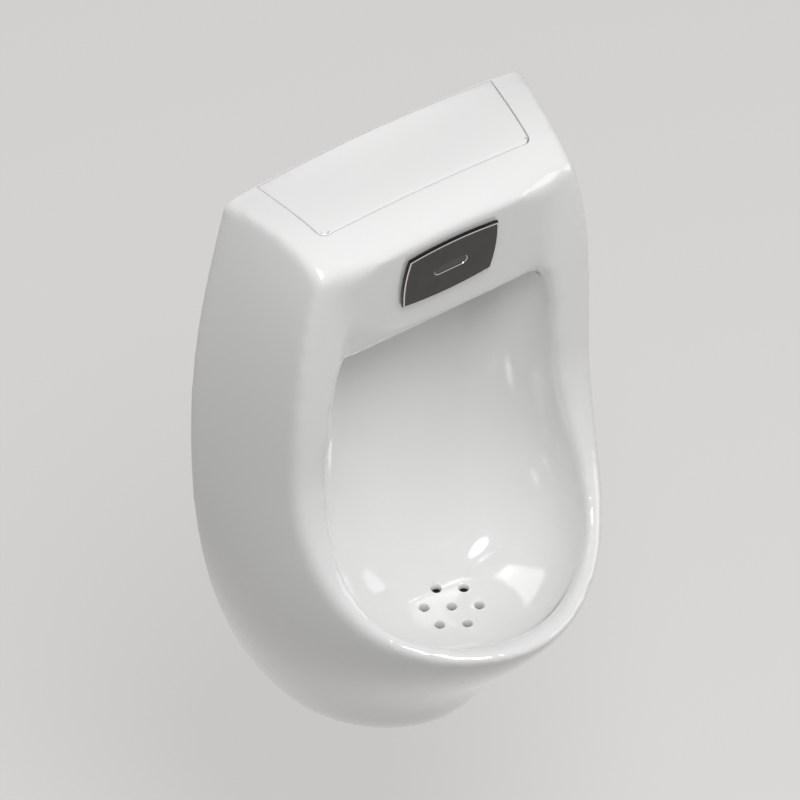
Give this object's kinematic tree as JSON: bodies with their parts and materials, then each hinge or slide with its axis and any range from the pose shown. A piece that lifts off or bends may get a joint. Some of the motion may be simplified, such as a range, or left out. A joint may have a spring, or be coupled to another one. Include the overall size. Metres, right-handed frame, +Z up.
{
  "type": "wall hung urinal",
  "caption": "Wall hung ceramic urinal with a deep open bowl, perforated drain, lift-off top lid, dark infrared sensor plate and a concealed battery flush valve.",
  "frame": {"origin": "middle of the four hanger screw holes, on the wall plane", "axes": "+X to the right as seen from the front, +Y into the wall, +Z up"},
  "size_m": [0.37, 0.2577, 0.6306],
  "materials": {
    "glazed_ceramic": "glossy white glaze",
    "sensor_black": "dark polished",
    "window_dark": "smoked",
    "rubber": "matt",
    "black_plastic": "fine texture",
    "board_green": "lacquered",
    "diode_clear": "clear",
    "steel": "brushed stainless",
    "cell_wrap": "printed sleeve, plain",
    "brass": "turned",
    "chrome": "bright",
    "lever_red": "dipped",
    "coil_black": "moulded",
    "cable_grey": "smooth"
  },
  "bodies": {
    "root": {"ceramic_body": "glazed_ceramic", "sensor_plate": "sensor_black", "sensor_window": "window_dark", "sensor_gasket": "rubber", "inlet_washer": "rubber", "spindle_seal": "rubber", "spreader_seal": "rubber", "lock_washer": "rubber", "outlet_seal": "rubber", "sensor_housing": "black_plastic", "housing_back": "black_plastic", "battery_box": "black_plastic", "sensor_board": "board_green", "ir_emitter": "diode_clear", "ir_receiver": "diode_clear", "plate_studs": "steel", "clamp_plates": "steel", "clamp_nuts": "steel", "cover_pin": "steel", "bonnet_screws": "steel", "guide_tube": "steel", "plunger_spring": "steel", "valve_stand": "steel", "hanger_brackets": "steel", "inlet_filter": "steel", "battery_contacts": "steel", "battery_cells": "cell_wrap", "union_nut": "brass", "inlet_tail": "brass", "stop_valve": "brass", "valve_body": "brass", "valve_bonnet": "brass", "coil_nut": "brass", "lock_nut": "brass", "port_nut": "brass", "spreader_union": "brass", "spreader": "chrome", "flush_tube": "chrome", "solenoid_coil": "coil_black", "battery_lead": "cable_grey", "valve_lead": "cable_grey"},
    "lid": {"top_lid": "glazed_ceramic", "lid_pads": "rubber"},
    "battery_flap": {"battery_cover": "black_plastic"},
    "stop_handle": {"stop_ball": "chrome", "stop_spindle": "steel", "stop_lever": "lever_red", "lever_nut": "chrome"},
    "piston": {"valve_piston": "black_plastic", "piston_face": "rubber"},
    "plunger_rod": {"plunger": "steel"}
  },
  "joints": [
    {"name": "lid_lift", "type": "slide", "parent": "root", "child": "lid", "axis": [0, 0, 1], "range_m": [0, 0.12]},
    {"name": "battery_flap_hinge", "type": "hinge", "parent": "root", "child": "battery_flap", "pos_m": [-0.065, -0.044, 0.0767], "axis": [-1, 0, 0], "range_deg": [0, 105]},
    {"name": "stop_turn", "type": "hinge", "parent": "root", "child": "stop_handle", "pos_m": [0.062, -0.034, 0.088], "axis": [0, 0, 1], "range_deg": [0, 90]},
    {"name": "plunger_lift", "type": "slide", "parent": "root", "child": "plunger_rod", "axis": [0, 0, 1], "range_m": [0, 0.003], "stiffness_N_per_m": 200, "springref_m": -0.005, "deforming": ["plunger_spring"]},
    {"name": "piston_lift", "type": "slide", "parent": "root", "child": "piston", "axis": [0, 0, 1], "range_m": [0, 0.0025]}
  ],
  "couplings": [
    {"joint": "piston_lift", "follows": "plunger_lift", "ratio": 0.8333}
  ]
}
